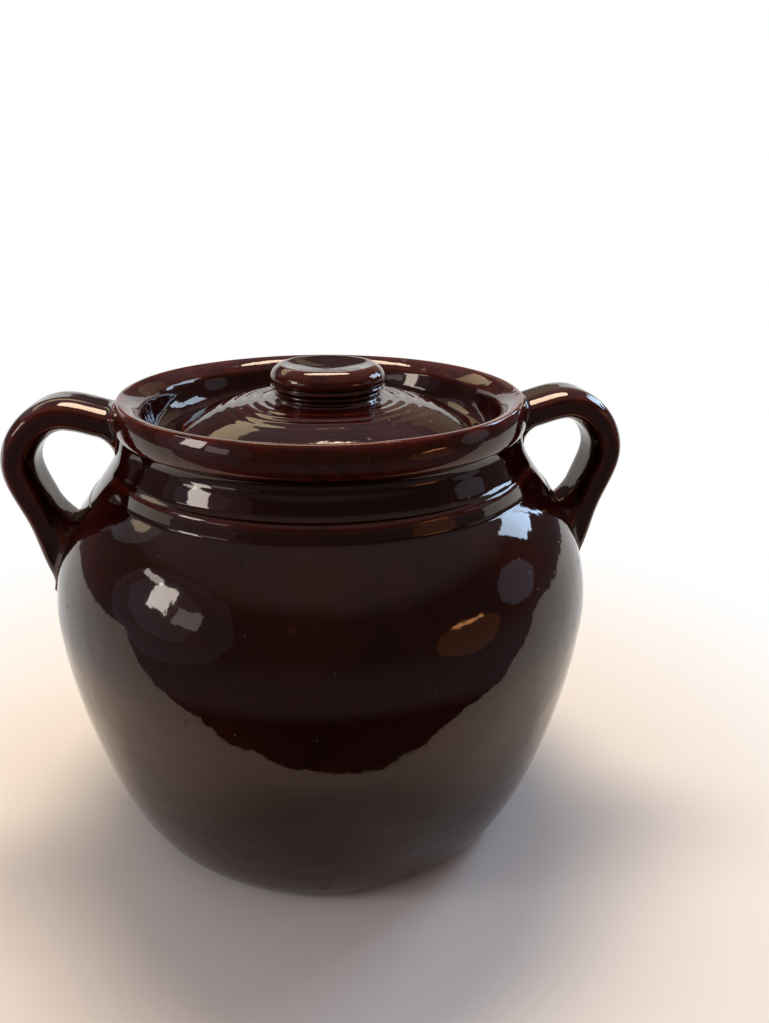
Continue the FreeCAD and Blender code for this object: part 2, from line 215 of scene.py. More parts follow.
class BeanPotSizes(bpy.types.PropertyGroup):
    """Sizes of the hand-made surface."""
    ring_depth: bpy.props.FloatProperty(
        name="Throwing rings", description="Depth of the faint rings that the fingers leave on the pot",
        default=0.05 * MM, unit="LENGTH", precision=5)
    ring_pitch: bpy.props.FloatProperty(
        name="Ring pitch", description="Spacing of the rings on the pot",
        default=7 * MM, unit="LENGTH", precision=5)
    wobble: bpy.props.FloatProperty(
        name="Wobble", description="How far the thrown wall wanders from a true circle",
        default=0.35 * MM, unit="LENGTH", precision=5)
    ripple: bpy.props.FloatProperty(
        name="Ripple", description="Height of the slow ripples in the fired glaze",
        default=0.12 * MM, unit="LENGTH", precision=5)
    lid_ring_depth: bpy.props.FloatProperty(
        name="Lid rings", description="Depth of the finger rings on top of the lid",
        default=0.22 * MM, unit="LENGTH", precision=5)
    lid_ring_pitch: bpy.props.FloatProperty(
        name="Lid ring pitch", description="Spacing of the finger rings on top of the lid",
        default=4.1 * MM, unit="LENGTH", precision=5)
    root_web: bpy.props.FloatProperty(
        name="Upper web", description="Radius of the clay web under each handle's upper end",
        default=9 * MM, unit="LENGTH", precision=5)
    joint_round: bpy.props.FloatProperty(
        name="Luted joint", description="Radius of the smoothed clay round each end of a handle",
        default=3 * MM, unit="LENGTH", precision=5)


class BeanPotColours(bpy.types.PropertyGroup):
    """Colours of the glaze, the clay and the floor, as sRGB hex values."""
    glaze_thick: bpy.props.StringProperty(
        name="Thick glaze", description="Colour where the glaze lies thick", default="1C0504")
    glaze_brown: bpy.props.StringProperty(
        name="Brown glaze", description="Colour of the browner clouds in the glaze", default="2C0C08")
    glaze_thin: bpy.props.StringProperty(
        name="Thin glaze", description="Colour where the glaze runs thin over an edge", default="641E0E")
    bare_clay: bpy.props.StringProperty(
        name="Bare clay", description="Colour of the unglazed stoneware", default="A88B6B")
    floor: bpy.props.StringProperty(
        name="Floor", description="Colour of the floor", default="F3E8D6")


def linear(hex_text):
    """An sRGB hex colour as linear RGBA."""
    channels = [int(hex_text[i:i + 2], 16) / 255 for i in (0, 2, 4)]
    return [c / 12.92 if c <= 0.04045 else ((c + 0.055) / 1.055) ** 2.4 for c in channels] + [1.0]


# ---- Materials ----

def add(tree, kind, settings=None, links=None):
    """Add a shader node with its settings and links; a link's key is a socket's name or number."""
    node = tree.nodes.new(kind)
    for key, value in (settings or {}).items():
        if isinstance(key, int) or key in node.inputs:
            node.inputs[key].default_value = value
        else:
            setattr(node, key, value)
    for key, output in (links or {}).items():
        tree.links.new(output, node.inputs[key])
    return node


def ease(tree, value, low, high, start=0.0, end=1.0):
    """A value that goes from start to end while another goes from low to high, and stays there beyond."""
    limits = {"From Min": low, "From Max": high, "To Min": start, "To Max": end}
    return add(tree, "ShaderNodeMapRange", limits, {"Value": value}).outputs["Result"]


def new_material(name):
    """An empty material with its output and its Principled shader."""
    material = bpy.data.materials.new(name)
    material.use_nodes = True
    material.node_tree.nodes.clear()
    tree = material.node_tree
    shader = add(tree, "ShaderNodeBsdfPrincipled")
    add(tree, "ShaderNodeOutputMaterial", links={"Surface": shader.outputs["BSDF"]})
    return material, tree, shader


def glaze_run(tree, where):
    """A share that is 1 on one thin run of glaze, about 1 mm wide, that bends down to a drop at the foot."""
    place = add(tree, "ShaderNodeSeparateXYZ", links={0: where})
    height = place.outputs["Z"]
    phase = ease(tree, height, RUN_BEND[0] * MM, RUN_BEND[1] * MM, 0.0, math.pi)
    sway = add(tree, "ShaderNodeMath", {"operation": "SINE"}, {0: phase})
    middle = add(tree, "ShaderNodeMath", {"operation": "MULTIPLY_ADD", 1: RUN_SWAY * MM, 2: RUN_MIDDLE * MM},
                 {0: sway.outputs["Value"]})
    aside = add(tree, "ShaderNodeMath", {"operation": "SUBTRACT"},
                {0: place.outputs["X"], 1: middle.outputs["Value"]})
    away = add(tree, "ShaderNodeMath", {"operation": "ABSOLUTE"}, {0: aside.outputs["Value"]})
    share = ease(tree, away.outputs["Value"], RUN_EDGE[0] * MM, RUN_EDGE[1] * MM, 0.8, 0.0)
    upper = ease(tree, height, RUN_TOP[0] * MM, RUN_TOP[1] * MM, 1.0, 0.0)
    lower = ease(tree, height, RUN_END[0] * MM, RUN_END[1] * MM)
    front = add(tree, "ShaderNodeMath", {"operation": "LESS_THAN", 1: RUN_FRONT * MM},
                {0: place.outputs["Y"]})
    for part in (upper, lower, front.outputs["Value"]):
        share = add(tree, "ShaderNodeMath", {"operation": "MULTIPLY"}, {0: share, 1: part}).outputs["Value"]
    drop = add(tree, "ShaderNodeVectorMath", {"operation": "DISTANCE", 1: [c * MM for c in RUN_DROP]},
               {0: where})
    bead = ease(tree, drop.outputs["Value"], RUN_DROP_EDGE[0] * MM, RUN_DROP_EDGE[1] * MM, 1.0, 0.0)
    return add(tree, "ShaderNodeMath", {"operation": "MAXIMUM"}, {0: share, 1: bead}).outputs["Value"]


def slip_glaze(colours):
    """Slip glaze on stoneware, dipped and fired: a deep glassy brown that breaks red on thin edges."""
    material, tree, shader = new_material(GLAZE)
    where = add(tree, "ShaderNodeTexCoord").outputs["Object"]
    # Clouds some 30 mm wide, where the dipped coat dried unevenly
    clouds = add(tree, "ShaderNodeTexNoise", {"Scale": 1 / (30 * MM), "Detail": 4.0, "Roughness": 0.6},
                 {"Vector": where})
    cloud_share = ease(tree, clouds.outputs["Fac"], 0.38, 0.66)
    base = add(tree, "ShaderNodeMix",
               {"data_type": "RGBA", 6: linear(colours.glaze_thick), 7: linear(colours.glaze_brown)},
               {0: cloud_share})
    # The coat runs off ridges and rims, and shows the red-brown body there
    thin = add(tree, "ShaderNodeAttribute", {"attribute_name": "thin_glaze"})
    patches = add(tree, "ShaderNodeTexNoise", {"Scale": 1 / (9 * MM), "Detail": 4.0, "Roughness": 0.65},
                  {"Vector": where})
    patchy = ease(tree, patches.outputs["Fac"], 0.36, 0.6, 0.25)
    thinned = add(tree, "ShaderNodeMath", {"operation": "MULTIPLY"}, {0: thin.outputs["Fac"], 1: patchy})
    broken = add(tree, "ShaderNodeMix",
                 {"data_type": "RGBA", 7: linear(colours.glaze_thin)},
                 {0: thinned.outputs["Value"], 6: base.outputs[2]})
    # Iron spots some 2 mm wide with ragged edges, few and far between
    ragged = add(tree, "ShaderNodeTexNoise", {"Scale": 1 / (2.4 * MM), "Detail": 2.0}, {"Vector": where})
    pushed = add(tree, "ShaderNodeVectorMath", {"operation": "MULTIPLY_ADD", 1: (0.003, 0.003, 0.003)},
                 {0: ragged.outputs["Color"], 2: where})
    cells = add(tree, "ShaderNodeTexVoronoi", {"Scale": 1 / (23 * MM)}, {"Vector": pushed.outputs["Vector"]})
    spot = ease(tree, cells.outputs["Distance"], 0.045, 0.085, 0.9, 0.0)
    spotted = add(tree, "ShaderNodeMix", {"data_type": "RGBA", 7: linear(SPOT_COLOUR)},
                  {0: spot, 6: broken.outputs[2]})
    # Pinholes under 1 mm wide, where gas broke through the melt
    holes = add(tree, "ShaderNodeTexVoronoi", {"Scale": 1 / (8 * MM)}, {"Vector": where})
    pinhole = ease(tree, holes.outputs["Distance"], 0.025, 0.05, 1.0, 0.0)
    run = glaze_run(tree, where)
    inked = add(tree, "ShaderNodeMix", {"data_type": "RGBA", 7: linear(RUN_COLOUR)},
                {0: run, 6: spotted.outputs[2]})
    tree.links.new(inked.outputs[2], shader.inputs["Base Color"])
    # The melt settles in slow ripples about 10 mm long
    melt = add(tree, "ShaderNodeTexNoise", {"Scale": 1 / (11 * MM), "Detail": 3.0, "Roughness": 0.4},
               {"Vector": where})
    rippled = add(tree, "ShaderNodeBump", {"Strength": 1.0, "Distance": 0.22 * MM},
                  {"Height": melt.outputs["Fac"]})
    pitted = add(tree, "ShaderNodeBump", {"Strength": 0.8, "Distance": 0.2 * MM, "invert": True},
                 {"Height": pinhole, "Normal": rippled.outputs["Normal"]})
    tree.links.new(pitted.outputs["Normal"], shader.inputs["Normal"])
    # Spots and the run have a duller skin than the glaze round them
    dull = add(tree, "ShaderNodeMath", {"operation": "MAXIMUM"}, {0: spot, 1: run}).outputs["Value"]
    tree.links.new(ease(tree, dull, 0.0, 1.0, 0.05, 0.4), shader.inputs["Roughness"])
    shader.inputs["IOR"].default_value = 1.5
    # Iron in the glass gives its reflections a bronze cast
    shader.inputs["Specular Tint"].default_value = linear(SHEEN_COLOUR)
    shader.inputs["Specular IOR Level"].default_value = 0.45
    return material


def bare_stoneware(colours):
    """Bare fired stoneware, wiped clean of glaze before firing: matt, buff and a little gritty."""
    material, tree, shader = new_material(BARE)
    where = add(tree, "ShaderNodeTexCoord").outputs["Object"]
    # Grog grains about 0.8 mm across
    grit = add(tree, "ShaderNodeTexNoise", {"Scale": 1 / (1.6 * MM), "Detail": 3.0}, {"Vector": where})
    stain = add(tree, "ShaderNodeTexNoise", {"Scale": 1 / (22 * MM), "Detail": 3.0}, {"Vector": where})
    toned = add(tree, "ShaderNodeMix",
                {"data_type": "RGBA", 6: linear(colours.bare_clay), 7: linear(STAIN_COLOUR)},
                {0: stain.outputs["Fac"]})
    tree.links.new(toned.outputs[2], shader.inputs["Base Color"])
    rough = add(tree, "ShaderNodeBump", {"Strength": 0.5, "Distance": 0.1 * MM},
                {"Height": grit.outputs["Fac"]})
    tree.links.new(rough.outputs["Normal"], shader.inputs["Normal"])
    shader.inputs["Roughness"].default_value = 0.85
    return material


# ---- Shapes ----

def draw_curve(curve):
    """A bmesh of a curve as it is drawn, with its doubled points welded; the curve itself is removed."""
    holder = bpy.data.objects.new(curve.name, curve)
    bpy.context.scene.collection.objects.link(holder)
    bpy.context.view_layer.update()
    drawn = bpy.data.meshes.new_from_object(holder.evaluated_get(bpy.context.evaluated_depsgraph_get()))
    bm = bmesh.new()
    bm.from_mesh(drawn)
    bpy.data.objects.remove(holder)
    bpy.data.curves.remove(curve)
    bpy.data.meshes.remove(drawn)
    bmesh.ops.remove_doubles(bm, verts=bm.verts, dist=WELD)
    return bm


def draw_profile(name, stretches):
    """A bmesh of a half profile. A stretch is its spacing, then two points for a line or more for a curve."""
    curve = bpy.data.curves.new(name, "CURVE")
    curve.dimensions = "3D"
    for spacing, *stretch in stretches:
        poles = [Vector((r * MM, 0, z * MM)) for r, z in stretch]
        first, last = poles[0], poles[-1]
        if len(poles) == 2:
            pulls = first.lerp(last, 1 / 3), first.lerp(last, 2 / 3)
        elif len(poles) == 3:
            pulls = first.lerp(poles[1], 2 / 3), last.lerp(poles[1], 2 / 3)
        else:
            pulls = poles[1], poles[2]
        length = sum((b - a).length for a, b in zip(poles, poles[1:]))
        spline = curve.splines.new("BEZIER")
        spline.resolution_u = max(3, round(length / (spacing * MM)))
        spline.bezier_points.add(1)
        start, end = spline.bezier_points
        start.co, end.co = first, last
        start.handle_left, start.handle_right = first, pulls[0]
        end.handle_left, end.handle_right = pulls[1], last
    return draw_curve(curve)


def spin_profile(bm, axis_x, steps):
    """Spin a quarter about an upright axis and repeat it into a closed, outward-facing skin."""
    bmesh.ops.spin(bm, geom=bm.verts[:] + bm.edges[:], cent=(axis_x, 0, 0), axis=(0, 0, 1),
                   angle=math.tau / 4, steps=steps // 4)
    for turn in (math.tau / 4, math.tau / 2):
        copied = bmesh.ops.duplicate(bm, geom=bm.verts[:] + bm.edges[:] + bm.faces[:])["geom"]
        bmesh.ops.rotate(bm, verts=[v for v in copied if isinstance(v, bmesh.types.BMVert)],
                         cent=(axis_x, 0, 0), matrix=Matrix.Rotation(turn, 3, "Z"))
    bmesh.ops.remove_doubles(bm, verts=bm.verts, dist=WELD_SEAM)
    bmesh.ops.recalc_face_normals(bm, faces=bm.faces)
    bm.normal_update()


def mark_profile(bm, width, slack, depth):
    """Store how far each point of a profile stands proud of its surroundings within a width, from 0 to 1."""
    width, slack, depth = width * MM, slack * MM, depth * MM
    layer = bm.verts.layers.float.new("thin_glaze")
    chain = [next(v for v in bm.verts if len(v.link_edges) == 1)]
    while len(chain) < len(bm.verts):
        chain.append(next(e.other_vert(chain[-1]) for e in chain[-1].link_edges
                          if len(chain) < 2 or e.other_vert(chain[-1]) is not chain[-2]))
    places = [v.co.copy() for v in chain]
    runs = [0.0]
    for a, b in zip(places, places[1:]):
        runs.append(runs[-1] + (b - a).length)
    turn = 0.0
    for a, b in zip(places, places[1:]):
        turn += (b.x - a.x) * (b.z + a.z) / 2
    hand = 1.0 if turn < 0 else -1.0
    for i, vert in enumerate(chain):
        total, weight = Vector(), 0.0
        for j, place in enumerate(places):
            if abs(runs[j] - runs[i]) > 2.5 * width:
                continue
            share = (runs[min(j + 1, len(runs) - 1)] - runs[max(j - 1, 0)]) * math.exp(
                -((runs[j] - runs[i]) / width) ** 2 / 2)
            total += place * share
            weight += share
        ahead = places[min(i + 1, len(places) - 1)] - places[max(i - 1, 0)]
        outward = Vector((ahead.z, 0, -ahead.x)).normalized() * hand
        proud = ((vert.co - total / weight).dot(outward) - slack) / depth
        vert[layer] = min(1.0, max(0.0, proud))


def mark_thin_glaze(bm, rounds, slack, depth):
    """Store how far each point of a mesh stands proud of its smoothed self, past a slack, from 0 to 1."""
    slack, depth = slack * MM, depth * MM
    sharp = [v.co.copy() for v in bm.verts]
    normals = [v.normal.copy() for v in bm.verts]
    for _ in range(rounds):
        bmesh.ops.smooth_vert(bm, verts=bm.verts, factor=1.0,
                              use_axis_x=True, use_axis_y=True, use_axis_z=True)
    layer = bm.verts.layers.float.new("thin_glaze")
    for vert, place, normal in zip(bm.verts, sharp, normals):
        proud = ((place - vert.co).dot(normal) - slack) / depth
        vert[layer] = min(1.0, max(0.0, proud))
        vert.co = place
    bm.normal_update()


def finish_piece(bm, name, materials, node, body):
    """Make the object, smooth it, and let it stand for its solid on its body."""
    for face in bm.faces:
        face.smooth = True
    mesh = bpy.data.meshes.new(name)
    bm.to_mesh(mesh)
    bm.free()
    for material in materials:
        mesh.materials.append(bpy.data.materials[material])
    piece = bpy.data.objects.new(name, mesh)
    bpy.context.scene.collection.objects.link(piece)
    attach(piece, body)
    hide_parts(node)
    return piece


def pot_outside():
    """Outer half profile of the pot, from the middle of the foot to the crest of the rim."""
    belly = (BELLY - BELLY_INSET, BELLY_HEIGHT)
    return [
        (4.0, (0, 0), (FOOT, 0)),
        (1.4, (FOOT, 0), (FOOT + HEEL_SPREAD, 0), (belly[0], BELLY_HEIGHT - BELLY_EASE[0]), belly),
        (1.1, belly, (belly[0], BELLY_HEIGHT + BELLY_EASE[1]),
         (NECK[0] + SHOULDER[0], NECK[1] - SHOULDER[1]), CREASE),
        (0.4, CREASE, NECK, COLLAR[0]),
        (0.6, COLLAR[0], COLLAR[1]),
        (0.4, COLLAR[1], (COLLAR[1][0] - 0.2, COLLAR[2][1] - 0.6), COLLAR[2]),
        (0.4, COLLAR[2], (SLOPE[0][0] + 0.6, COLLAR[2][1] + 0.5), SLOPE[0]),
        (0.6, SLOPE[0], SLOPE[1]),
        (0.5, SLOPE[1], (SLOPE[1][0] - 0.9, SLOPE[1][1] + 2.0), (GROOVE[0], GROOVE[1] - 2.0), GROOVE),
        (0.5, GROOVE, (GROOVE[0], BAND_FOOT[1] - 0.4), BAND_FOOT),
        (0.6, BAND_FOOT, BAND_PULL[0], BAND_PULL[1], BAND_TOP),
        (0.4, BAND_TOP, (BAND_TOP[0] - 0.3, CREST[1]), CREST),
    ]


def pot_inside():
    """Inner half profile of the pot, from the crest of the rim to the middle of the floor."""
    belly = (BELLY - WALL, BELLY_HEIGHT)
    heel = (FOOT - WALL, FLOOR)
    return [
        (0.6, CREST, (CREST[0] - LIP_ROUND, CREST[1]), (LIP[0] + LIP_ROUND, LIP[1] + LIP_ROUND), LIP),
        (0.8, LIP, (LIP[0] - LIP_ROUND, LIP[1] - LIP_ROUND),
         (LEDGE_IN + LEDGE_COVE, LEDGE), (LEDGE_IN, LEDGE)),
        (2.0, (LEDGE_IN, LEDGE), (THROAT + THROAT_ROUND, LEDGE)),
        (1.0, (THROAT + THROAT_ROUND, LEDGE), (THROAT, LEDGE), (THROAT, LEDGE - THROAT_ROUND)),
        (2.2, (THROAT, LEDGE - THROAT_ROUND), (THROAT, THROAT_END)),
        (2.2, (THROAT, THROAT_END), (THROAT, THROAT_END - THROAT_PULL),
         (UNDER_LEDGE[0] - UNDER_PULL[0], UNDER_LEDGE[1] + UNDER_PULL[1]), UNDER_LEDGE),
        (4.0, UNDER_LEDGE, (UNDER_LEDGE[0] + SHOULDER[0], UNDER_LEDGE[1] - SHOULDER[1]),
         (belly[0], BELLY_HEIGHT + BELLY_EASE[1]), belly),
        (4.0, belly, (belly[0], BELLY_HEIGHT - BELLY_EASE[0]), (heel[0] + HEEL_SPREAD, FLOOR), heel),
        (8.0, heel, (0, FLOOR)),
    ]


def smooth_step(low, high, value):
    """0 below low, 1 above high and a soft rise between; low may be the larger."""
    share = min(1.0, max(0.0, (value - low) / (high - low)))
    return share * share * (3 - 2 * share)


def smear_neck(bm):
    """Fill the neck's ridges and groove beside each handle, where the joining clay was smeared down."""
    smear = interpolate_bezier(*[Vector((r, z)) * MM for r, z in SMEAR], 40)
    for vert in bm.verts:
        side = smooth_step(SMEAR_END * MM, SMEAR_FULL * MM, abs(vert.co.y))
        reach = Vector((vert.co.x, vert.co.y)).length
        if side == 0 or reach < SMEAR_INNER * MM or not smear[-1].y < vert.co.z < smear[0].y:
            continue
        above, below = next((a, b) for a, b in zip(smear, smear[1:]) if a.y >= vert.co.z >= b.y)
        target = above.x + (below.x - above.x) * (above.y - vert.co.z) / (above.y - below.y)
        if target > reach:
            grow = 1 + (target - reach) * side / reach
            vert.co.x *= grow
            vert.co.y *= grow
    bm.normal_update()


def rough_throw(bm, sizes):
    """Give the spun wall its faint rings, and a slow wander and ripple that only ever go inwards."""
    for vert in bm.verts:
        if vert.co.z < 0.5 * MM:
            continue
        angle = math.atan2(vert.co.y, vert.co.x)
        along = (vert.co.z + angle / math.tau * sizes.ring_pitch) / sizes.ring_pitch
        rings = noise.noise((0, 3.7, along)) * sizes.ring_depth
        wander = (noise.noise(vert.co / (55 * MM)) - 1) / 2 * sizes.wobble
        ripple = (noise.noise((vert.co.x / (16 * MM), vert.co.y / (16 * MM), vert.co.z / (9 * MM))) - 1) / 2
        vert.co += vert.normal * (rings + wander + ripple * sizes.ripple)
    bm.normal_update()


class OBJECT_OT_bean_pot_body(bpy.types.Operator):
    """Build the thrown pot"""
    bl_idname = "object.bean_pot_body"
    bl_label = "Thrown Pot"

    def execute(self, context):
        sizes = context.scene.bean_pot_sizes
        bm = draw_profile("pot_skin", pot_outside() + pot_inside())
        mark_profile(bm, *POT_EDGES)
        spin_profile(bm, 0, POT_STEPS)
        smear_neck(bm)
        rough_throw(bm, sizes)
        for face in bm.faces:
            if face.calc_center_median().z < 0.2 * MM:
                face.material_index = 1
        finish_piece(bm, "thrown_pot", (GLAZE, BARE), "pot_body", "pot")
        return {"FINISHED"}


def lid_profile():
    """Half profile of the lid, from its underside round its edge to the middle of its top."""
    seat_in = LID_EDGE - LID_SEAT
    foot = LEDGE + LID_CLEAR
    hollow = LEDGE + LID_HOLLOW
    return [
        (2.0, (0, hollow), (LID_FLAT, hollow), (LID_EDGE - 16.6, hollow), (seat_in, foot)),
        (2.0, (seat_in, foot), (LID_EDGE - 1, foot)),
        (0.5, (LID_EDGE - 1, foot), (LID_EDGE, foot), (LID_EDGE, LEDGE + 1.55)),
        (0.5, (LID_EDGE, LEDGE + 1.55), (LID_EDGE, LEDGE + 2.6), (LID_EDGE - 0.5, LEDGE + 3.1)),
        (0.45, (LID_EDGE - 0.5, LEDGE + 3.1), (LID_EDGE - 10, LID_TOP - 4.4), (LID_EDGE - 20, LID_TOP),
         (LID_FLAT, LID_TOP)),
        (2.0, (LID_FLAT, LID_TOP), (0, LID_TOP)),
    ]


def ring_lid(bm, sizes):
    """Press finger rings into the top of the lid, in one slow spiral that fades towards the edge."""
    for vert in bm.verts:
        side = Vector((vert.co.x - LID_AXIS, vert.co.y))
        reach = side.length / MM
        if vert.normal.z < 0.3 or reach < RINGS_START[0] or vert.co.z < (LEDGE + 4) * MM:
            continue
        turn = math.atan2(side.y, side.x) / math.tau
        bold = smooth_step(*RINGS_START, reach) * smooth_step(*RINGS_END, reach)
        bold *= max(0.2, 1 + 1.2 * noise.noise((reach / 3.1, 0, 4.5)))
        wander = 0.5 * noise.noise((side.x / (24 * MM), side.y / (24 * MM), 1.5))
        wave = 0.5 - 0.5 * math.cos(math.tau * (reach * MM / sizes.lid_ring_pitch - turn + wander))
        vert.co.z -= sizes.lid_ring_depth * min(1.0, bold) * wave
    bm.normal_update()


class OBJECT_OT_bean_pot_lid(bpy.types.Operator):
    """Build the loose lid"""
    bl_idname = "object.bean_pot_lid"
    bl_label = "Loose Lid"

    def execute(self, context):
        sizes = context.scene.bean_pot_sizes
        bm = draw_profile("lid_skin", lid_profile())
        bmesh.ops.translate(bm, verts=bm.verts, vec=(LID_AXIS, 0, 0))
        spin_profile(bm, LID_AXIS, POT_STEPS)
        ring_lid(bm, sizes)
        mark_thin_glaze(bm, *LID_EDGES)
        for face in bm.faces:
            if face.calc_center_median().z < (LEDGE + 0.3) * MM:
                face.material_index = 1
        finish_piece(bm, "thrown_lid", (GLAZE, BARE), "lid_disc", "lid")
        return {"FINISHED"}


def knob_profile():
    """Half profile of the knob, from the middle of its foot to the middle of its dished top."""
    z = LID_TOP
    return [
        (2.0, (0, z), (21.2, z)),
        (0.35, (21.2, z), (20.8, z + 0.5), (20.3, z + 0.9), (20.0, z + 1.3)),
        (0.35, (20.0, z + 1.3), (19.8, z + 1.6), (20.0, z + 1.8), (20.3, z + 2.1)),
        (0.35, (20.3, z + 2.1), (20.8, z + 2.6), (20.6, z + 3.4), (19.9, z + 3.8)),
        (0.35, (19.9, z + 3.8), (19.3, z + 4.1), (19.3, z + 4.4), (20.2, z + 4.6)),
        (0.35, (20.2, z + 4.6), (21.8, z + 4.6), (22.0, z + 5.1)),
        (0.35, (22.0, z + 5.1), (22.0, z + 5.5), (21.6, z + 5.6), (21.5, z + 6.2)),
        (0.35, (21.5, z + 6.2), (22.4, z + 7.6), (22.3, z + 11.0), (18.4, z + 12.9)),
        (0.35, (18.4, z + 12.9), (16.3, z + 13.9), (9.2, z + 10.8), (0, z + 10.8)),
    ]


class OBJECT_OT_bean_pot_knob(bpy.types.Operator):
    """Build the knob on the lid"""
    bl_idname = "object.bean_pot_knob"
    bl_label = "Lid Knob"

    def execute(self, context):
        bm = draw_profile("knob_skin", knob_profile())
        mark_profile(bm, *KNOB_EDGES)
        bmesh.ops.translate(bm, verts=bm.verts, vec=(LID_AXIS, 0, 0))
        spin_profile(bm, LID_AXIS, KNOB_STEPS)
        finish_piece(bm, "thrown_knob", (GLAZE,), "lid_knob", "lid")
        return {"FINISHED"}


def strap_section():
    """A closed curve across the strap: a full oval, faintly fluted where fingers pulled the clay."""
    curve = bpy.data.curves.new("strap_section", "CURVE")
    curve.dimensions = "2D"
    spline = curve.splines.new("NURBS")
    poles = 32
    spline.points.add(poles - 1)
    for step, point in enumerate(spline.points):
        angle = math.tau * step / poles
        across, along = math.sin(angle), math.cos(angle)
        flute = 1 - STRAP_FLUTES * math.cos(8 * angle)
        u = math.copysign(abs(along) ** (2 / STRAP_SQUARENESS), along) * STRAP_THICKNESS / 2 * flute
        v = math.copysign(abs(across) ** (2 / STRAP_SQUARENESS), across) * STRAP_WIDTH / 2 * flute
        point.co = (v * MM, u * MM, 0, 1)
    spline.order_u = 4
    spline.use_cyclic_u = True
    spline.resolution_u = 2
    holder = bpy.data.objects.new("strap_section", curve)
    bpy.context.scene.collection.objects.link(holder)
    return holder


def sweep_strap():
    """A bmesh of the strap: its section swept along its path."""
    section = strap_section()
    curve = bpy.data.curves.new("strap_path", "CURVE")
    curve.dimensions = "3D"
    curve.bevel_mode = "OBJECT"
    curve.bevel_object = section
    curve.use_fill_caps = True
    spline = curve.splines.new("NURBS")
    spline.points.add(len(PATH) - 1)
    for point, (x, z), swell in zip(spline.points, PATH, PATH_SWELL):
        point.co = (x * MM, 0, z * MM, 1)
        point.radius = swell
    spline.order_u = 4
    spline.use_endpoint_u = True
    spline.resolution_u = 48
    bm = draw_curve(curve)
    bpy.data.objects.remove(section)
    bmesh.ops.recalc_face_normals(bm, faces=bm.faces)
    bm.normal_update()
    return bm


def pot_skin():
    """A search tree of the outer skin of the thrown pot."""
    bm = bmesh.new()
    bm.from_mesh(bpy.data.objects["thrown_pot"].data)
    inner = [f for f in bm.faces
             if f.normal.dot(Vector((*f.calc_center_median().xy, 0)).normalized()) < 0.02]
    bmesh.ops.delete(bm, geom=inner, context="FACES")
    tree = BVHTree.FromBMesh(bm)
    bm.free()
    return tree


def lute_strap(bm, skin, sizes):
    """Spread the strap's ends onto the pot, as wet clay is smoothed down, and keep them in its wall."""
    sunk = LUTE_SUNK * MM
    moves = []
    for vert in bm.verts:
        near, outward, _, distance = skin.find_nearest(vert.co)
        height = distance if (vert.co - near).dot(outward) > 0 else -distance
        upper = vert.co.z > LUTE_UPPER * MM
        inner = max(0.0, -vert.normal.z if upper else -vert.normal.x) ** 2
        spread = sizes.root_web - sizes.joint_round
        radius = sizes.joint_round + spread * inner * (1.0 if upper else LUTE_LOWER)
        radius *= max(0.1, smooth_step(*LUTE_TAIL, vert.co.z / MM))
        if height < -sunk:
            moves.append((vert, near - outward * sunk))
        elif height < radius:
            gap = radius - max(0.0, height)
            fade = (1 + min(0.0, height) / sunk) ** 2
            rise = radius - math.sqrt(radius * radius - gap * gap)
            moves.append((vert, vert.co + vert.normal * rise * fade))
    for vert, place in moves:
        vert.co = place
    for vert, _ in moves:
        near, outward, _, distance = skin.find_nearest(vert.co)
        if (vert.co - near).dot(outward) < -sunk:
            vert.co = near - outward * sunk
    bm.normal_update()


class OBJECT_OT_bean_pot_handles(bpy.types.Operator):
    """Build both strap handles"""
    bl_idname = "object.bean_pot_handles"
    bl_label = "Strap Handles"

    def execute(self, context):
        sizes = context.scene.bean_pot_sizes
        skin = pot_skin()
        sides = (("strap_right", "handle_right", 0), ("strap_left", "handle_left", math.pi))
        for name, node, turned in sides:
            bm = sweep_strap()
            lute_strap(bm, skin, sizes)
            bmesh.ops.smooth_vert(bm, verts=bm.verts, factor=0.5,
                                  use_axis_x=True, use_axis_y=True, use_axis_z=True)
            bmesh.ops.rotate(bm, verts=bm.verts, cent=(0, 0, 0), matrix=Matrix.Rotation(turned, 3, "Z"))
            mark_thin_glaze(bm, *STRAP_EDGES)
            finish_piece(bm, name, (GLAZE,), node, "pot")
        return {"FINISHED"}


# ---- Stage ----

def aim(location, target):
    """Placement of a lamp at a point, shining at another."""
    turn = (Vector(target) - Vector(location)).to_track_quat("-Z", "Y")
    return Matrix.Translation(location) @ turn.to_matrix().to_4x4()


def add_softbox(name, azimuth, elevation, distance, size, radiance, colour):
    """A soft lamp round the pot: azimuth from the back (+Y) towards +X, and a plain brightness."""
    lamp = bpy.data.lights.new(name, "AREA")
    windowed = name.startswith("window")
    lamp.shape = "RECTANGLE" if windowed else "ELLIPSE"
    lamp.size, lamp.size_y = size
    lamp.energy = radiance * math.pi * size[0] * size[1] * (1 if windowed else math.pi / 4)
    lamp.color = linear(colour)[:3]
    holder = bpy.data.objects.new(name, lamp)
    turn, tilt = math.radians(azimuth), math.radians(elevation)
    target = Vector(LAMP_TARGET)
    way = Vector((math.sin(turn) * math.cos(tilt), math.cos(turn) * math.cos(tilt), math.sin(tilt)))
    holder.matrix_world = aim(target + way * distance, target)
    bpy.context.scene.collection.objects.link(holder)


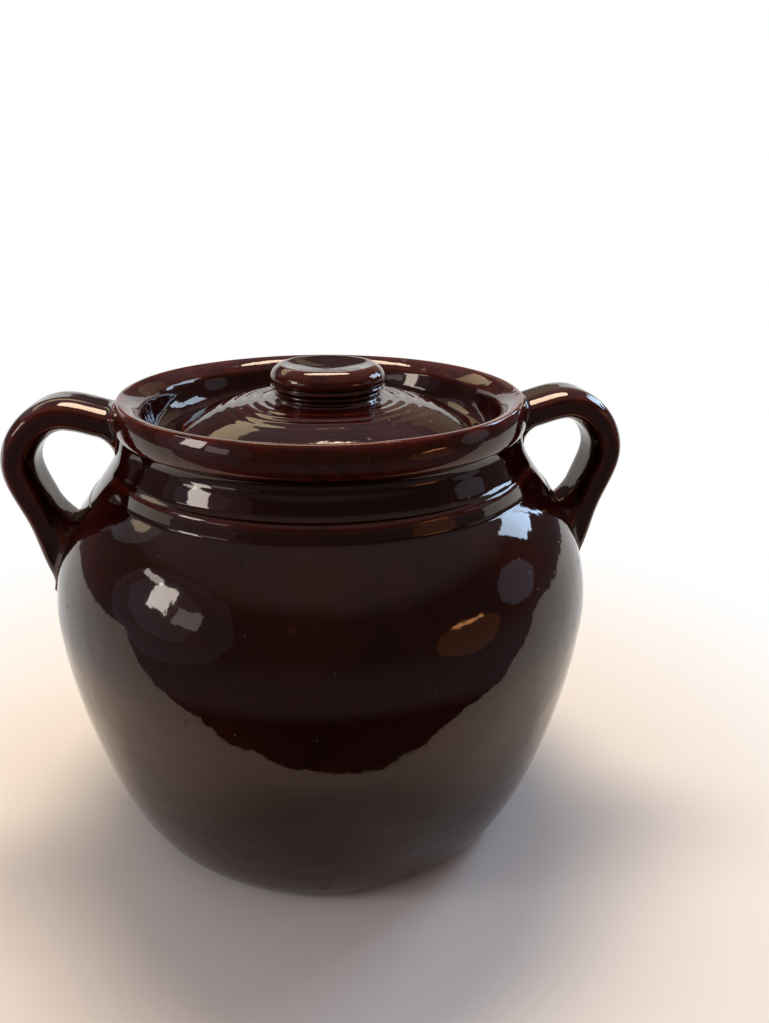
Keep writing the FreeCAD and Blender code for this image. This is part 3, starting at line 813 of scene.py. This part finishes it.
def floor_material(colours):
    """Matt studio paper: plain and pale near the pot, fading to the white of the backdrop."""
    material, tree, shader = new_material("matt_studio_paper")
    shader.inputs["Base Color"].default_value = linear(colours.floor)
    shader.inputs["Roughness"].default_value = 1.0
    shader.inputs["Specular IOR Level"].default_value = 0.0
    where = add(tree, "ShaderNodeTexCoord").outputs["Object"]
    far = add(tree, "ShaderNodeVectorMath", {"operation": "LENGTH"}, {0: where})
    fade = add(tree, "ShaderNodeMapRange",
               {"From Min": FLOOR_FADE[0], "From Max": FLOOR_FADE[1], "interpolation_type": "SMOOTHSTEP"},
               {"Value": far.outputs["Value"]})
    share = add(tree, "ShaderNodeMath", {"operation": "MULTIPLY"},
                {0: add_rays(tree), 1: fade.outputs["Result"]})
    white = add(tree, "ShaderNodeEmission", {"Color": (1, 1, 1, 1), "Strength": 1.0})
    mixed = add(tree, "ShaderNodeMixShader", {},
                {0: share.outputs["Value"], 1: shader.outputs["BSDF"], 2: white.outputs["Emission"]})
    output = next(n for n in tree.nodes if n.type == "OUTPUT_MATERIAL")
    tree.links.new(mixed.outputs["Shader"], output.inputs["Surface"])
    return material


def add_rays(tree):
    """A share that is 1 for what the eye, a mirror or a glass sees, and 0 for light on matt surfaces."""
    rays = add(tree, "ShaderNodeLightPath")
    seen = add(tree, "ShaderNodeMath", {"operation": "MAXIMUM"},
               {0: rays.outputs["Is Camera Ray"], 1: rays.outputs["Is Glossy Ray"]})
    return add(tree, "ShaderNodeMath", {"operation": "MAXIMUM"},
               {0: seen.outputs["Value"], 1: rays.outputs["Is Transmission Ray"]}).outputs["Value"]


def dim_world():
    """A plain dim room, the same to every ray: a pale ceiling, dark walls and a cool glow below eye level."""
    world = bpy.data.worlds.new("dim_room")
    world.use_nodes = True
    tree = world.node_tree
    tree.nodes.clear()
    way = add(tree, "ShaderNodeSeparateXYZ", links={0: add(tree, "ShaderNodeTexCoord").outputs["Generated"]})
    ramp = add(tree, "ShaderNodeValToRGB", links={"Fac": ease(tree, way.outputs["Z"], -1.0, 1.0)})
    for rise, colour, bright in ROOM:
        place = (math.sin(math.radians(rise)) + 1) / 2
        stop = ramp.color_ramp.elements.new(place)
        stop.color = [c * bright for c in linear(colour)[:3]] + [1.0]
    ramp.color_ramp.elements.remove(ramp.color_ramp.elements[0])
    ramp.color_ramp.elements.remove(ramp.color_ramp.elements[-1])
    background = add(tree, "ShaderNodeBackground", links={"Color": ramp.outputs["Color"]})
    add(tree, "ShaderNodeOutputWorld", links={"Surface": background.outputs["Background"]})
    return world


def paper_sweep():
    """Paper laid over a table: it hangs down at the table's front edge and rises far behind the pot."""
    bm = bmesh.new()
    line = [bm.verts.new((-SWEEP_SIDE, y, z)) for y, z in (
        (TABLE_FRONT, -TABLE_HANG), (TABLE_FRONT, 0), (SWEEP_BACK, 0), (SWEEP_BACK, SWEEP_TOP))]
    edges = [bm.edges.new(pair) for pair in zip(line, line[1:])]
    swept = bmesh.ops.extrude_edge_only(bm, edges=edges)["geom"]
    bmesh.ops.translate(bm, verts=[v for v in swept if isinstance(v, bmesh.types.BMVert)],
                        vec=(2 * SWEEP_SIDE, 0, 0))
    for place, bend in ((TABLE_FRONT, TABLE_BEND), (SWEEP_BACK, SWEEP_BEND)):
        fold = [e for e in bm.edges if len(e.link_faces) == 2
                and all(abs(v.co.y - place) < 0.001 and abs(v.co.z) < 0.001 for v in e.verts)]
        bmesh.ops.bevel(bm, geom=fold, offset=bend, offset_type="OFFSET", affect="EDGES", segments=12,
                        profile=0.5, material=-1)
    bmesh.ops.recalc_face_normals(bm, faces=bm.faces)
    if sum(f.normal.z * f.calc_area() for f in bm.faces) < 0:
        bmesh.ops.reverse_faces(bm, faces=bm.faces)
    for face in bm.faces:
        face.smooth = True
    mesh = bpy.data.meshes.new("paper_sweep")
    bm.to_mesh(mesh)
    bm.free()
    return bpy.data.objects.new("paper_sweep", mesh)


class OBJECT_OT_bean_pot_stage(bpy.types.Operator):
    """Build the floor, the backdrop, the lamps and the camera"""
    bl_idname = "object.bean_pot_stage"
    bl_label = "Stage"

    def execute(self, context):
        colours = context.scene.bean_pot_colours
        sweep = paper_sweep()
        sweep.data.materials.append(floor_material(colours))
        context.scene.collection.objects.link(sweep)

        for lamp in LAMPS:
            add_softbox(*lamp)

        context.scene.world = dim_world()
        context.scene.view_settings.view_transform = "Standard"

        camera = bpy.data.cameras.new("camera")
        camera.lens = CAMERA_LENS
        holder = bpy.data.objects.new("camera", camera)
        heading, pitch, roll = (math.radians(angle) for angle in CAMERA_TURN)
        level = math.cos(pitch)
        ahead = Vector((math.sin(heading) * level, math.cos(heading) * level, -math.sin(pitch)))
        turn = ahead.to_track_quat("-Z", "Y").to_matrix() @ Matrix.Rotation(-roll, 3, "Z")
        holder.matrix_world = Matrix.Translation(CAMERA_PLACE) @ turn.to_4x4()
        context.scene.collection.objects.link(holder)
        context.scene.camera = holder
        return {"FINISHED"}


class VIEW3D_PT_bean_pot(bpy.types.Panel):
    """Sizes, colours and steps of the bean pot"""
    bl_label = "Bean Pot"
    bl_space_type = "VIEW_3D"
    bl_region_type = "UI"
    bl_category = "Bean Pot"

    def draw(self, context):
        for group in (context.scene.bean_pot_sizes, context.scene.bean_pot_colours):
            for key in group.bl_rna.properties.keys():
                if key not in ("rna_type", "name"):
                    self.layout.prop(group, key)
        for operator in OPERATORS:
            self.layout.operator(operator.bl_idname)


OPERATORS = (OBJECT_OT_bean_pot_body, OBJECT_OT_bean_pot_handles, OBJECT_OT_bean_pot_lid,
             OBJECT_OT_bean_pot_knob, OBJECT_OT_bean_pot_stage)
CLASSES = (BeanPotSizes, BeanPotColours) + OPERATORS + (VIEW3D_PT_bean_pot,)


def register():
    for cls in CLASSES:
        bpy.utils.register_class(cls)
    bpy.types.Scene.bean_pot_sizes = bpy.props.PointerProperty(type=BeanPotSizes)
    bpy.types.Scene.bean_pot_colours = bpy.props.PointerProperty(type=BeanPotColours)


def unregister():
    del bpy.types.Scene.bean_pot_colours
    del bpy.types.Scene.bean_pot_sizes
    for cls in reversed(CLASSES):
        bpy.utils.unregister_class(cls)


def main():
    register()
    colours = bpy.context.scene.bean_pot_colours
    slip_glaze(colours)
    bare_stoneware(colours)
    bpy.ops.object.bean_pot_body()
    bpy.ops.object.bean_pot_handles()
    bpy.ops.object.bean_pot_lid()
    bpy.ops.object.bean_pot_knob()
    bpy.ops.object.bean_pot_stage()


if __name__ == "__main__":
    main()
